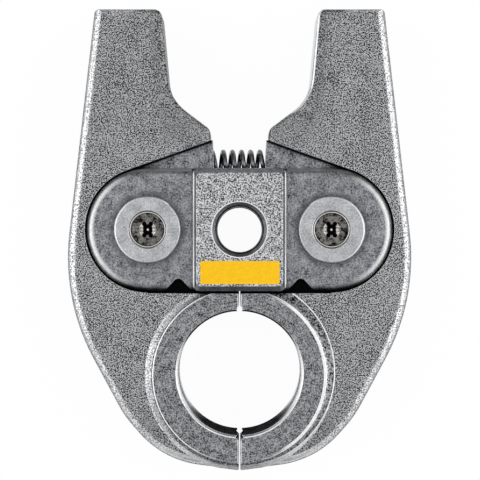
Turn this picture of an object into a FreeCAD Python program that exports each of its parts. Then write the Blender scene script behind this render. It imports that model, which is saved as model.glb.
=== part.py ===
import FreeCAD, Part
import math
import os

import Sketcher

# Press fitting tool jaw, closed, lying on its back block.
# Millimetres. The origin is the centre of the retaining bolt's bore, halfway through the jaw.
# +X is to the right and +Y along the drive arms, seen from the front face, whose normal is +Z.

SIZES = (
    ("pivot_offset", 24.5, "pivot axes, left and right of the bolt bore"),
    ("pivot_pin_radius", 7.0, "pivot pin"),
    ("pivot_running_clearance", 0.04, "radial, pin in lever"),
    ("pivot_seat_clearance", 0.02, "radial, pin in link plate"),
    ("lever_half_thickness", 10.5, "mid-plane to the forged face"),
    ("hub_half_thickness", 6.5, "mid-plane to the recessed hub face"),
    ("arm_tip_height", 58.8, "top of the drive arms"),
    ("arm_tip_inset", 8.85, "outer corner of an arm tip, inside the flank"),
    ("arm_tip_inner", 20.9, "inner corner of an arm tip"),
    ("arm_tip_outer_round", 1.3, "outer corner of an arm tip, seen from the front"),
    ("arm_tip_inner_round", 2.1, "inner corner of an arm tip"),
    ("neck_half_gap", 18.7, "foot of the roller ramp"),
    ("neck_rise", 8.2, "foot of the roller ramp above the shoulder"),
    ("neck_round", 12.5, "hollow between ramp and shoulder"),
    ("shoulder_half_gap", 7.8, "inner edge of the shoulder"),
    ("shoulder_height", 26.7, "top of the shoulder's inner edge"),
    ("shoulder_round", 2.4, "rounding of the shoulder"),
    ("flank_wall", 6.3, "outer flank beside the recess, corner before rounding"),
    ("flank_drop", 18.7, "outer flank, corner before rounding"),
    ("flank_round", 57.0, "rounding of the flank"),
    ("cheek_inset", 16.85, "die cheek inside the flank, corner before rounding"),
    ("cheek_rise", 14.3, "die cheek above the nose"),
    ("cheek_round", 29.3, "rounding of the cheek"),
    ("chin_inset", 10.4, "chin inside the cheek, corner before rounding"),
    ("chin_rise", 2.6, "chin above the nose"),
    ("chin_round", 25.4, "rounding of the chin"),
    ("flank_edge_round", 2.4, "forged edge of the outer flank"),
    ("inner_edge_round", 1.0, "forged edge of the inner and top sides"),
    ("tongue_half_gap", 6.7, "foot of the spring tongue to the centre line"),
    ("tongue_lean", 0.5, "how far the tongue's tip stands back from its foot"),
    ("tongue_root", 15.0, "where the tongue grows out of the hub"),
    ("tongue_top", 24.0, "tip of the tongue"),
    ("tongue_foot", 12.0, "foot of the tongue"),
    ("bolt_path_clearance", 4.9, "round the bolt bore, as the levers turn"),
    ("bolt_path_rise", 3.6, "centre of that room above the bolt bore"),
    ("split_half_gap", 0.15, "each die face to the centre line"),
    ("split_chamfer", 0.35, "edges of the die faces"),
    ("die_corner_relief", 1.15, "broken corners where the split meets the press bore"),
    ("nose_corner_relief", 0.6, "broken corners at the nose"),
    ("press_drop", 38.2, "press contour axis below the bolt bore"),
    ("press_land_radius", 16.5, "pressing lands"),
    ("press_groove_depth", 1.8, "groove that clears the fitting's bead"),
    ("press_groove_half_width", 4.2, "floor of the groove"),
    ("press_mouth_chamfer", 0.5, "each mouth of the press bore"),
    ("nose_wall", 9.55, "metal below the press bore"),
    ("die_proud", 1.5, "machined die face above the forged face"),
    ("die_face_shift", 0.7, "centre of the die face below the press contour's axis"),
    ("die_face_width", 6.9, "press land to the rim of the die face"),
    ("die_rim_chamfer", 0.25, "rim of the die face"),
    ("die_slope_width", 1.85, "rough slope outside the die face"),
    ("recess_clearance", 0.45, "round a lobe"),
    ("recess_slope", 19.6, "degrees, upper wall of the recess"),
    ("recess_floor_clearance", 0.65, "below a link plate"),
    ("plate_gap", 0.1, "link plate to hub face"),
    ("lobe_radius", 16.35, "round ends of a link plate"),
    ("lobe_edge_round", 2.0, "soft edge of a lobe"),
    ("lobe_thickness", 3.9, "link plate at its lobes"),
    ("block_half_width", 12.0, "bolt block"),
    ("block_half_thickness", 14.0, "mid-plane to the face of the block"),
    ("block_corner_round", 1.4, "upright corners of the block"),
    ("block_end_chamfer", 1.3, "along the block's upper and lower edge"),
    ("block_side_chamfer", 0.5, "along the block's sides"),
    ("block_foot_flare", 0.4, "where the block's sides stand on the lobes"),
    ("bolt_bore_radius", 6.1, "for a 12 mm retaining bolt"),
    ("bolt_bore_chamfer", 1.2, "mouth of the bolt bore"),
    ("notch_offset", 16.3, "notches in the lower edge of a plate"),
    ("notch_half_width", 3.7, "notch at the plate's edge"),
    ("notch_depth", 4.0, "notch, before its corner is rounded"),
    ("notch_round", 1.5, "corner of a notch"),
    ("notch_lip_round", 1.6, "where a notch meets the plate's edge"),
    ("washer_radius", 8.9, "washer"),
    ("washer_thickness", 2.0, "washer"),
    ("washer_seat_depth", 0.8, "washer sunk into the lobe"),
    ("washer_seat_clearance", 0.1, "radial"),
    ("washer_chamfer", 0.35, "rim of the washer"),
    ("screw_head_overhang", 2.5, "head beyond the shank, countersunk to 90 degrees"),
    ("screw_head_sink", 0.15, "head below the washer face"),
    ("screw_rim_width", 0.3, "bevel round the head"),
    ("screw_rim_drop", 0.12, "bevel round the head"),
    ("screw_shank_radius", 2.5, "shank"),
    ("screw_length", 8.0, "head face to tip"),
    ("screw_point_chamfer", 0.5, "tip of the shank"),
    ("screw_thread_clearance", 0.05, "radial, shank in tapped hole"),
    ("tapped_hole_extra", 1.0, "hole beyond the screw's tip"),
    ("socket_radius", 2.35, "tips of the six-lobe socket"),
    ("socket_lobe_radius", 0.6, "one lobe of the socket"),
    ("socket_lobe_overlap", 0.2, "lobe into the round core of the socket"),
    ("socket_mouth_radius", 2.2, "sloping mouth between the lobes"),
    ("socket_mouth_depth", 0.7, "sloping mouth between the lobes"),
    ("socket_depth", 1.9, "socket"),
    ("pin_end_chamfer", 0.6, "ends of the pivot pin"),
    ("spring_rise", 17.7, "return spring above the bolt bore"),
    ("spring_outer_radius", 4.1, "return spring"),
    ("spring_wire_radius", 0.62, "spring wire"),
    ("spring_pitch", 2.5, "spring, from turn to turn"),
    ("spring_seat_depth", 5.5, "blind seat in each tongue"),
    ("spring_seat_clearance", 0.3, "radial"),
    ("spring_end_clearance", 0.05, "spring end to seat floor"),
)

# Places and faces that several pieces share, as sums of the sizes above
RECESS_RADIUS = "lobe_radius + recess_clearance"
FLANK_REACH = "pivot_offset + " + RECESS_RADIUS + " + flank_wall"
ARM_TIP_REACH = FLANK_REACH + " - arm_tip_inset"
CHEEK_REACH = FLANK_REACH + " - cheek_inset"
CHIN_REACH = CHEEK_REACH + " - chin_inset"
NOSE_DROP = "press_drop + press_land_radius + nose_wall"
CHEEK_DROP = NOSE_DROP + " - cheek_rise"
CHIN_DROP = NOSE_DROP + " - chin_rise"
DIE_FACE_DROP = "press_drop + die_face_shift"
DIE_FACE_RADIUS = "press_land_radius + die_face_width"
DIE_FOOT_RADIUS = DIE_FACE_RADIUS + " + die_slope_width"
DIE_FACE = "lever_half_thickness + die_proud"
PRESS_MOUTH_RADIUS = "press_land_radius + press_mouth_chamfer"
BOLT_PATH_RADIUS = "bolt_bore_radius + bolt_path_clearance"
PLATE_BACK = "hub_half_thickness + plate_gap"
LOBE_FACE = PLATE_BACK + " + lobe_thickness"
WASHER_FOOT = LOBE_FACE + " - washer_seat_depth"
WASHER_FACE = WASHER_FOOT + " + washer_thickness"
SCREW_HEAD_RADIUS = "screw_shank_radius + screw_head_overhang"
SOCKET_CORE_RADIUS = "socket_radius - socket_lobe_radius - socket_lobe_radius + socket_lobe_overlap"
PIVOTS = {"left": "- pivot_offset", "right": "pivot_offset"}

OVERCUT = " + 2"   # a cutting shape runs this far past a face
SOCKET_LOBES = 6

document = FreeCAD.newDocument("press_jaw")
sheet = document.addObject("Spreadsheet::Sheet", "Sizes")
for row, (word, value, note) in enumerate(SIZES, start=1):
    sheet.set("A%d" % row, word)
    sheet.set("B%d" % row, str(value))
    sheet.set("C%d" % row, note)
    sheet.setAlias("B%d" % row, word)
document.recompute()


def signed_words(text):
    """Words and plain numbers of a sum such as "- pivot_offset + 2", each with its sign."""
    pairs = []
    sign = 1
    for token in text.split():
        if token in "+-":
            sign = 1 if token == "+" else -1
        else:
            pairs.append((sign, token))
            sign = 1
    return pairs


def is_number(token):
    return token.replace(".", "", 1).isdigit()


def number(text):
    return sum(sign * (float(token) if is_number(token) else float(sheet.get(token)))
               for sign, token in signed_words(text))


def formula(text):
    parts = ["0"]
    for sign, token in signed_words(text):
        parts.append("+" if sign > 0 else "-")
        parts.append(token if is_number(token) else "Sizes." + token)
    return " ".join(parts)


def opposite(text):
    """The same sum with every sign changed."""
    parts = []
    for sign, token in signed_words(text):
        parts.append("-" if sign > 0 else "+")
        parts.append(token)
    return " ".join(parts)


def below(profile):
    """The same corners under the mid-plane, in reverse order."""
    return tuple((x, opposite(height), round_size) for x, height, round_size in reversed(profile))


def bind(thing, sizes):
    """Ties properties of an object to sums of sheet sizes."""
    for name, text in sizes.items():
        thing.setExpression(name, formula(text))


def place(thing, x="0", y="0", z="0", rotation=None):
    if rotation is not None:
        thing.Placement = FreeCAD.Placement(FreeCAD.Vector(), rotation)
    bind(thing, {"Placement.Base.x": x, "Placement.Base.y": y, "Placement.Base.z": z})
    return thing


def turn(axis, degrees):
    return FreeCAD.Rotation(FreeCAD.Vector(*axis), degrees)


def primitive(kind, name, sizes, x="0", y="0", z="0", rotation=None):
    thing = document.addObject("Part::" + kind, name)
    bind(thing, sizes)
    return place(thing, x, y, z, rotation)


def new_body(name):
    thing = document.addObject("PartDesign::Body", name)
    document.recompute()
    return thing


def new_sketch(body, name, plane, height="0"):
    """A sketch on one of its body's origin planes, raised along the plane's normal."""
    sketch = body.newObject("Sketcher::SketchObject", name)
    sketch.AttachmentSupport = [(origin_plane(body, plane), "")]
    sketch.MapMode = "FlatFace"
    sketch.setExpression(".AttachmentOffset.Base.z", formula(height))
    document.recompute()
    return sketch


def constrain(sketch, values, *words):
    """Adds one constraint and ties its value, if it has one, to the sheet."""
    if values is None:
        sketch.addConstraint(Sketcher.Constraint(*words))
        return
    index = sketch.addConstraint(Sketcher.Constraint(*words, number(values)))
    sketch.setExpression("Constraints[%d]" % index, formula(values))


def unit(start, end):
    step = end - start
    return step / step.Length


def rounded_outline(sketch, corners):
    """Closed outline of straight lines through corners (x, y, round), with tangent arcs."""
    count = len(corners)
    points = [FreeCAD.Vector(number(x), number(y), 0) for x, y, _ in corners]
    entries, exits, arcs = [], [], []
    for index, (_, _, round_size) in enumerate(corners):
        here = points[index]
        if round_size is None:
            entries.append(here)
            exits.append(here)
            arcs.append(None)
            continue
        radius = number(round_size)
        back = unit(here, points[index - 1])
        ahead = unit(here, points[(index + 1) % count])
        half_angle = back.getAngle(ahead) / 2
        reach = radius / math.tan(half_angle)
        entries.append(here + back * reach)
        exits.append(here + ahead * reach)
        centre = here + (back + ahead).normalize() * (radius / math.sin(half_angle))
        turns_left = back.cross(ahead).z < 0
        first, last = (entries[-1], exits[-1]) if turns_left else (exits[-1], entries[-1])
        angles = [math.atan2(point.y - centre.y, point.x - centre.x) for point in (first, last)]
        if angles[1] < angles[0]:
            angles[1] += 2 * math.pi
        circle = Part.Circle(centre, FreeCAD.Vector(0, 0, 1), radius)
        arcs.append((Part.ArcOfCircle(circle, *angles), turns_left))
    lines = [sketch.addGeometry(Part.LineSegment(exits[index], entries[(index + 1) % count]), False)
             for index in range(count)]
    for index, (x, y, round_size) in enumerate(corners):
        corner = sketch.addGeometry(Part.Point(points[index]), True)
        constrain(sketch, x, "DistanceX", -1, 1, corner, 1)
        constrain(sketch, y, "DistanceY", -1, 1, corner, 1)
        before, after = lines[index - 1], lines[index]
        if arcs[index] is None:
            constrain(sketch, None, "Coincident", before, 2, corner, 1)
            constrain(sketch, None, "Coincident", after, 1, corner, 1)
            continue
        arc_shape, turns_left = arcs[index]
        arc = sketch.addGeometry(arc_shape, False)
        constrain(sketch, None, "PointOnObject", corner, 1, before)
        constrain(sketch, None, "PointOnObject", corner, 1, after)
        constrain(sketch, None, "Tangent", before, 2, arc, 1 if turns_left else 2)
        constrain(sketch, None, "Tangent", arc, 2 if turns_left else 1, after, 1)
        constrain(sketch, round_size, "Radius", arc)
    document.recompute()


def stadium_outline(sketch, half_span, radius):
    """Two half circles about points on the X axis, joined by tangent lines."""
    centres = (number(half_span), -number(half_span))
    quarter = math.pi / 2
    arcs = []
    for centre, start in zip(centres, (-quarter, quarter)):
        circle = Part.Circle(FreeCAD.Vector(centre, 0, 0), FreeCAD.Vector(0, 0, 1), number(radius))
        arcs.append(sketch.addGeometry(Part.ArcOfCircle(circle, start, start + math.pi), False))
    right, left = arcs
    rise = number(radius)
    top = sketch.addGeometry(Part.LineSegment(FreeCAD.Vector(centres[0], rise, 0),
                                              FreeCAD.Vector(centres[1], rise, 0)), False)
    bottom = sketch.addGeometry(Part.LineSegment(FreeCAD.Vector(centres[1], -rise, 0),
                                                 FreeCAD.Vector(centres[0], -rise, 0)), False)
    for arc, side in ((right, half_span), (left, "- " + half_span)):
        constrain(sketch, None, "PointOnObject", arc, 3, -1)
        constrain(sketch, side, "DistanceX", -1, 1, arc, 3)
        constrain(sketch, radius, "Radius", arc)
    constrain(sketch, None, "Tangent", right, 2, top, 1)
    constrain(sketch, None, "Tangent", top, 2, left, 1)
    constrain(sketch, None, "Tangent", left, 2, bottom, 1)
    constrain(sketch, None, "Tangent", bottom, 2, right, 1)
    document.recompute()


def extruded(body, name, kind, sketch, length=None, symmetric=False, reverse=False):
    feature = body.newObject("PartDesign::" + kind, name)
    feature.Profile = sketch
    if length is None:
        feature.Type = "ThroughAll"
    else:
        bind(feature, {"Length": length})
    if symmetric:
        feature.SideType = "Symmetric"
    feature.Reversed = reverse
    sketch.Visibility = False
    document.recompute()
    return feature


def turned(body, name, kind, sketch, degrees=360.0, reverse=False):
    feature = body.newObject("PartDesign::" + kind, name)
    feature.Profile = sketch
    feature.ReferenceAxis = (sketch, ["V_Axis"])
    feature.Angle = degrees
    feature.Reversed = reverse
    sketch.Visibility = False
    document.recompute()
    return feature


def dressed(body, name, kind, base, chosen, size_name, size_text):
    """Fillet or chamfer on the edges of the base feature that the test picks."""
    names = ["Edge%d" % (index + 1) for index, edge in enumerate(base.Shape.Edges) if chosen(edge)]
    feature = body.newObject("PartDesign::" + kind, name)
    feature.Base = (base, names)
    bind(feature, {size_name: size_text})
    document.recompute()
    return feature


def combined(kind, name, *things):
    """Part boolean of two or more objects; a cut takes the rest from the first."""
    if kind == "Cut":
        tool = things[1] if len(things) == 2 else combined("MultiFuse", name + "_tools", *things[1:])
        result = document.addObject("Part::Cut", name)
        result.Base = things[0]
        result.Tool = tool
    else:
        result = document.addObject("Part::" + kind, name)
        result.Shapes = list(things)
    document.recompute()
    return result


def mirrored(name, source, normal):
    copy = document.addObject("Part::Mirroring", name)
    copy.Source = source
    copy.Normal = FreeCAD.Vector(*normal)
    document.recompute()
    return copy


def middle(edge):
    return edge.valueAt((edge.FirstParameter + edge.LastParameter) / 2)


def on_level(edge, level):
    """True if the whole edge lies at this height above or below the mid-plane."""
    return all(abs(abs(vertex.Z) - level) < 0.001 for vertex in edge.Vertexes) \
        and abs(abs(middle(edge).z) - level) < 0.001


def origin_plane(body, role):
    return [feature for feature in body.Origin.OriginFeatures if feature.Role == role][0]


def mirror_across(body, name, features):
    """Repeats features of a body on the other side of its YZ plane."""
    pattern = body.newObject("PartDesign::Mirrored", name)
    pattern.Originals = features
    pattern.MirrorPlane = (origin_plane(body, "YZ_Plane"), [""])
    body.Tip = pattern
    document.recompute()
    return pattern


def circle_outline(sketch, x, radius):
    """A circle centred on the sketch's X axis."""
    centre = FreeCAD.Vector(number(x), 0, 0)
    ring = sketch.addGeometry(Part.Circle(centre, FreeCAD.Vector(0, 0, 1), number(radius)), False)
    constrain(sketch, None, "PointOnObject", ring, 3, -1)
    constrain(sketch, x, "DistanceX", -1, 1, ring, 3)
    constrain(sketch, radius, "Radius", ring)
    document.recompute()


# Left lever: forged outline, rounded edges, machined die and recesses

def lever_blank():
    """Forged outline with the small rounding of its top and inner edges."""
    body = new_body("lever_blank")
    sketch = new_sketch(body, "lever_outline", "XY_Plane")
    rounded_outline(sketch, (
        ("- split_half_gap", opposite(NOSE_DROP), None),
        ("- split_half_gap", "bolt_path_rise", None),
        ("- shoulder_half_gap", "bolt_path_rise", None),
        ("- shoulder_half_gap", "shoulder_height", "shoulder_round"),
        ("- neck_half_gap", "shoulder_height + neck_rise", "neck_round"),
        ("- arm_tip_inner", "arm_tip_height", "arm_tip_inner_round"),
        (opposite(ARM_TIP_REACH), "arm_tip_height", "arm_tip_outer_round"),
        (opposite(FLANK_REACH), "- flank_drop", "flank_round"),
        (opposite(CHEEK_REACH), opposite(CHEEK_DROP), "cheek_round"),
        (opposite(CHIN_REACH), opposite(CHIN_DROP), "chin_round"),
    ))
    pad = extruded(body, "lever_pad", "Pad", sketch, "lever_half_thickness + lever_half_thickness",
                   symmetric=True)
    level = number("lever_half_thickness")
    inner_side = -number("shoulder_half_gap") - 0.001
    dressed(body, "lever_small_round", "Fillet", pad,
            lambda edge: on_level(edge, level) and edge.BoundBox.XMin < inner_side,
            "Radius", "inner_edge_round")
    return body


def outer_form(name, half_thickness):
    """Flank, cheek and chin on the same lines, run past the arm tip and the nose."""
    body = new_body(name)
    sketch = new_sketch(body, name + "_outline", "XY_Plane")
    far_side = CHIN_REACH + " - split_half_gap - split_half_gap"
    top = "arm_tip_height + arm_tip_height + flank_drop"
    rounded_outline(sketch, (
        (far_side, opposite(NOSE_DROP) + " - chin_rise", None),
        (far_side, top, None),
        (opposite(ARM_TIP_REACH) + " + arm_tip_inset", top, None),
        (opposite(FLANK_REACH), "- flank_drop", "flank_round"),
        (opposite(CHEEK_REACH), opposite(CHEEK_DROP), "cheek_round"),
        (opposite(CHIN_REACH), opposite(CHIN_DROP), "chin_round"),
    ))
    pad = extruded(body, name + "_pad", "Pad", sketch, half_thickness + " + " + half_thickness, symmetric=True)
    level = number(half_thickness)
    highest = number(top) - 0.001
    rightmost = number(far_side) - 0.001
    dressed(body, name + "_round", "Fillet", pad,
            lambda edge: on_level(edge, level) and middle(edge).y < highest and middle(edge).x < rightmost,
            "Radius", "flank_edge_round")
    return body


def die_boss():
    """Block round the press contour, with a rough slope outside its machined face."""
    body = new_body("die_boss")
    sketch = new_sketch(body, "die_boss_profile", "XZ_Plane")
    rim = DIE_FACE + " - die_rim_chamfer"
    rounded_outline(sketch, (
        ("0", opposite(DIE_FACE), None),
        (DIE_FACE_RADIUS + " - die_rim_chamfer", opposite(DIE_FACE), None),
        (DIE_FACE_RADIUS, opposite(rim), None),
        (DIE_FOOT_RADIUS, "- lever_half_thickness", None),
        (DIE_FOOT_RADIUS, "lever_half_thickness", None),
        (DIE_FACE_RADIUS, rim, None),
        (DIE_FACE_RADIUS + " - die_rim_chamfer", DIE_FACE, None),
        ("0", DIE_FACE, None),
    ))
    turned(body, "die_boss_turned", "Revolution", sketch)
    return place(body, y=opposite(DIE_FACE_DROP))


def press_contour():
    """What the press bore removes: two lands, the groove between them, a chamfer at each mouth."""
    body = new_body("press_contour")
    sketch = new_sketch(body, "press_contour_profile", "XZ_Plane")
    upper = (
        ("press_land_radius + press_groove_depth", "press_groove_half_width", None),
        ("press_land_radius", "press_groove_half_width + press_groove_depth", None),
        ("press_land_radius", DIE_FACE + " - press_mouth_chamfer", None),
        (PRESS_MOUTH_RADIUS + OVERCUT, DIE_FACE + OVERCUT, None),
        ("0", DIE_FACE + OVERCUT, None),
    )
    rounded_outline(sketch, below(upper) + upper)
    turned(body, "press_contour_turned", "Revolution", sketch)
    return place(body, y="- press_drop")


def split_side():
    """Everything right of the left die face, with its two edges broken."""
    body = new_body("split_side")
    sketch = new_sketch(body, "split_profile", "XZ_Plane")
    upper = (
        ("- split_half_gap", DIE_FACE + " - split_chamfer", None),
        (opposite("split_half_gap + split_chamfer" + OVERCUT), DIE_FACE + OVERCUT, None),
        (DIE_FOOT_RADIUS + OVERCUT, DIE_FACE + OVERCUT, None),
    )
    rounded_outline(sketch, below(upper) + upper)
    start = DIE_FOOT_RADIUS + " " + opposite(DIE_FACE_DROP) + OVERCUT
    extruded(body, "split_pad", "Pad", sketch, NOSE_DROP + " + " + start + OVERCUT)
    return place(body, y=start)


def through_cylinder(name, radius, x, y):
    """A round cut right through the thickest part."""
    half = DIE_FACE + OVERCUT
    return primitive("Cylinder", name, {"Radius": radius, "Height": half + " + " + half},
                     x, y, opposite(half))


def corner_relief(name, radius, y):
    """A square prism standing on the split, which breaks a corner of each die."""
    half = DIE_FACE + OVERCUT
    prism = primitive("Prism", name, {"Circumradius": radius, "Height": half + " + " + half},
                      "0", y, opposite(half))
    prism.Polygon = 4
    return prism


def spring_tongue():
    """Slightly leaning tongue that holds one end of the return spring."""
    body = new_body("spring_tongue")
    sketch = new_sketch(body, "tongue_outline", "XY_Plane")
    rounded_outline(sketch, (
        ("- tongue_root", "tongue_foot", None),
        ("- tongue_half_gap", "tongue_foot", None),
        ("- tongue_half_gap - tongue_lean", "tongue_top", None),
        ("- tongue_root", "tongue_top", None),
    ))
    extruded(body, "tongue_pad", "Pad", sketch, "hub_half_thickness + hub_half_thickness", symmetric=True)
    return body


def plate_recess(name):
    """Room for a link plate: a round end at the pivot, a sloping upper and a level lower wall."""
    depth = {"Height": DIE_FACE + " - hub_half_thickness" + OVERCUT}
    reach = {**depth, "Length": "pivot_offset + pivot_offset"}
    round_end = primitive("Cylinder", name + "_round", {**depth, "Radius": RECESS_RADIUS},
                          "- pivot_offset", "0", "hub_half_thickness")
    sloping = primitive("Box", name + "_slope", {**reach, "Width": RECESS_RADIUS},
                        "- pivot_offset", "0", "hub_half_thickness", turn((0, 0, 1), number("recess_slope")))
    sloping.setExpression("Placement.Rotation.Angle", "Sizes.recess_slope")
    floor = "lobe_radius + recess_floor_clearance"
    level = primitive("Box", name + "_level", {**reach, "Width": floor},
                      "- pivot_offset", opposite(floor), "hub_half_thickness")
    return combined("MultiFuse", name, round_end, sloping, level)


def left_lever():
    forging = combined("MultiCommon", "lever_forging", lever_blank(),
                       outer_form("forged_form", "lever_half_thickness"))
    round_boss = combined("MultiCommon", "round_die_boss", die_boss(), outer_form("die_form", DIE_FACE))
    boss = combined("Cut", "left_die_boss", round_boss, split_side())
    solid = combined("MultiFuse", "lever_with_die", forging, spring_tongue(), boss)
    recess = plate_recess("front_recess")
    seat_reach = "tongue_half_gap + spring_seat_depth"
    spring_seat = primitive("Cylinder", "spring_seat",
                            {"Radius": "spring_outer_radius + spring_seat_clearance", "Height": seat_reach},
                            opposite(seat_reach), "spring_rise", "0", turn((0, 1, 0), 90))
    return combined("Cut", "left_jaw_lever", solid, recess, mirrored("back_recess", recess, (0, 0, 1)),
                    through_cylinder("pivot_bore", "pivot_pin_radius + pivot_running_clearance",
                                     "- pivot_offset", "0"),
                    through_cylinder("bolt_path", BOLT_PATH_RADIUS, "0", "bolt_path_rise"),
                    press_contour(), spring_seat,
                    corner_relief("upper_relief", "die_corner_relief", PRESS_MOUTH_RADIUS + " - press_drop"),
                    corner_relief("lower_relief", "die_corner_relief",
                                  opposite(PRESS_MOUTH_RADIUS) + " - press_drop"),
                    corner_relief("nose_relief", "nose_corner_relief", opposite(NOSE_DROP)))


# Link plates: two lobes on the pivots and a thick block for the retaining bolt

def block_rectangle(body, name, height, half_width, half_height):
    sketch = new_sketch(body, name, "XY_Plane", height)
    rounded_outline(sketch, (
        (half_width, half_height, "block_corner_round"),
        (opposite(half_width), half_height, "block_corner_round"),
        (opposite(half_width), opposite(half_height), "block_corner_round"),
        (half_width, opposite(half_height), "block_corner_round"),
    ))
    return sketch


def tapered(body, name, foot, top):
    """Solid with straight sides from one outline up to the next."""
    loft = body.newObject("PartDesign::AdditiveLoft", name)
    loft.Profile = foot
    loft.Sections = [top]
    loft.Ruled = True
    document.recompute()


def front_plate():
    body = new_body("front_link_plate")
    outline = new_sketch(body, "plate_outline", "XY_Plane", PLATE_BACK)
    stadium_outline(outline, "pivot_offset", "lobe_radius")
    lobes = extruded(body, "plate_lobes", "Pad", outline, "lobe_thickness")
    lobe_face = number(LOBE_FACE)
    dressed(body, "lobe_edge", "Fillet", lobes, lambda edge: on_level(edge, lobe_face),
            "Radius", "lobe_edge_round")

    notch = new_sketch(body, "plate_notch", "XY_Plane", "block_half_thickness")
    rounded_outline(notch, (
        ("- notch_offset", "notch_depth - lobe_radius", "notch_round"),
        ("- notch_offset - notch_half_width", "- lobe_radius", "notch_lip_round"),
        ("- notch_offset - notch_half_width - notch_half_width", "- lobe_radius", None),
        ("- notch_offset - notch_half_width - notch_half_width", "- lobe_radius - notch_depth", None),
        ("notch_half_width + notch_half_width - notch_offset", "- lobe_radius - notch_depth", None),
        ("notch_half_width + notch_half_width - notch_offset", "- lobe_radius", None),
        ("notch_half_width - notch_offset", "- lobe_radius", "notch_lip_round"),
    ))
    mirror_across(body, "both_notches", [extruded(body, "left_notch", "Pocket", notch)])

    block = block_rectangle(body, "block_foot", PLATE_BACK, "block_half_width", "lobe_radius")
    extruded(body, "bolt_block", "Pad", block,
             opposite(PLATE_BACK) + " + block_half_thickness - block_end_chamfer")
    sections = [block_rectangle(body, name, height, half_width, half_height)
                for name, height, half_width, half_height in (
                    ("flare_foot", LOBE_FACE, "block_half_width + block_foot_flare", "lobe_radius"),
                    ("flare_top", LOBE_FACE + " + block_foot_flare", "block_half_width", "lobe_radius"),
                    ("crown_foot", "block_half_thickness - block_end_chamfer", "block_half_width", "lobe_radius"),
                    ("crown_face", "block_half_thickness", "block_half_width - block_side_chamfer",
                     "lobe_radius - block_end_chamfer"))]
    tapered(body, "block_flare", *sections[:2])
    tapered(body, "block_crown", *sections[2:])

    bore = new_sketch(body, "bolt_bore_circle", "XY_Plane", "block_half_thickness")
    circle_outline(bore, "0", "bolt_bore_radius")
    drilled = extruded(body, "bolt_bore", "Pocket", bore)
    block_face = number("block_half_thickness")
    bore_radius = number("bolt_bore_radius")
    dressed(body, "bolt_bore_mouth", "Chamfer", drilled,
            lambda edge: on_level(edge, block_face) and edge.Curve.TypeId == "Part::GeomCircle"
            and abs(edge.Curve.Radius - bore_radius) < 0.001,
            "Size", "bolt_bore_chamfer")

    seats = []
    for name, radius, depth in (("pin_seat", "pivot_pin_radius + pivot_seat_clearance", None),
                                ("washer_seat", "washer_radius + washer_seat_clearance",
                                 "washer_seat_depth")):
        ring = new_sketch(body, name + "_circle", "XY_Plane", LOBE_FACE)
        circle_outline(ring, "- pivot_offset", radius)
        seats.append(extruded(body, name, "Pocket", ring, depth))
    mirror_across(body, "both_seats", seats)
    return body


# Pivots: pin, and on each face a countersunk washer and its screw

def turned_piece(name, profile):
    """A solid of revolution about its own Z axis; corners are (radius, height, round)."""
    body = new_body(name)
    sketch = new_sketch(body, name + "_profile", "XZ_Plane")
    rounded_outline(sketch, profile)
    turned(body, name + "_turned", "Revolution", sketch)
    return body


def set_on_side(body, x, height, side):
    """Stands a turned piece on the front face, or upside down on the back face."""
    if side == "front":
        return place(body, x, z=height)
    return place(body, x, z=opposite(height), rotation=turn((1, 0, 0), 180))


def pivot_pin(name, x):
    """Pin with a tapped hole at each end, opened to a cone for the screw's head."""
    hole_radius = "screw_shank_radius + screw_thread_clearance"
    hole_floor = WASHER_FACE + " - screw_head_sink - screw_length - tapped_hole_extra"
    cone_mouth = SCREW_HEAD_RADIUS + " + screw_head_sink - washer_thickness"
    cone_foot = WASHER_FACE + " - screw_head_overhang - screw_head_sink + screw_thread_clearance"
    upper = (
        ("pivot_pin_radius", WASHER_FOOT + " - pin_end_chamfer", None),
        ("pivot_pin_radius - pin_end_chamfer", WASHER_FOOT, None),
        (cone_mouth, WASHER_FOOT, None),
        (hole_radius, cone_foot, None),
        (hole_radius, hole_floor, None),
        ("0", hole_floor, None),
    )
    return place(turned_piece(name, below(upper) + upper), x)


def washer(name, x, side):
    """Washer in its shallow seat, countersunk right through for the screw's head."""
    body = turned_piece(name, (
        (SCREW_HEAD_RADIUS + " + screw_head_sink - washer_thickness", "0", None),
        ("washer_radius", "0", None),
        ("washer_radius", "washer_thickness - washer_chamfer", None),
        ("washer_radius - washer_chamfer", "washer_thickness", None),
        (SCREW_HEAD_RADIUS + " + screw_head_sink", "washer_thickness", None),
    ))
    return set_on_side(body, x, WASHER_FOOT, side)


def screw(name, x, side):
    """Countersunk screw with a six-lobe socket, its head just under the washer's face."""
    body = turned_piece(name, (
        ("0", "- screw_length", None),
        ("screw_shank_radius - screw_point_chamfer", "- screw_length", None),
        ("screw_shank_radius", "screw_point_chamfer - screw_length", None),
        ("screw_shank_radius", "- screw_head_overhang", None),
        (SCREW_HEAD_RADIUS + " - screw_rim_drop", "- screw_rim_drop", None),
        (SCREW_HEAD_RADIUS + " - screw_rim_width", "0", None),
        ("socket_mouth_radius", "0", None),
        (SOCKET_CORE_RADIUS, "- socket_mouth_depth", None),
        (SOCKET_CORE_RADIUS, "- socket_depth", None),
        ("0", "- socket_depth", None),
    ))
    lobe = new_sketch(body, name + "_lobe_circle", "XY_Plane")
    circle_outline(lobe, "socket_radius - socket_lobe_radius", "socket_lobe_radius")
    first = extruded(body, name + "_lobe", "Pocket", lobe, "socket_depth")
    ring = body.newObject("PartDesign::PolarPattern", name + "_lobes")
    ring.Originals = [first]
    ring.Axis = (lobe, ["N_Axis"])
    ring.Angle = 360
    ring.Occurrences = SOCKET_LOBES
    body.Tip = ring
    document.recompute()
    return set_on_side(body, x, WASHER_FACE + " - screw_head_sink", side)


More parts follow.
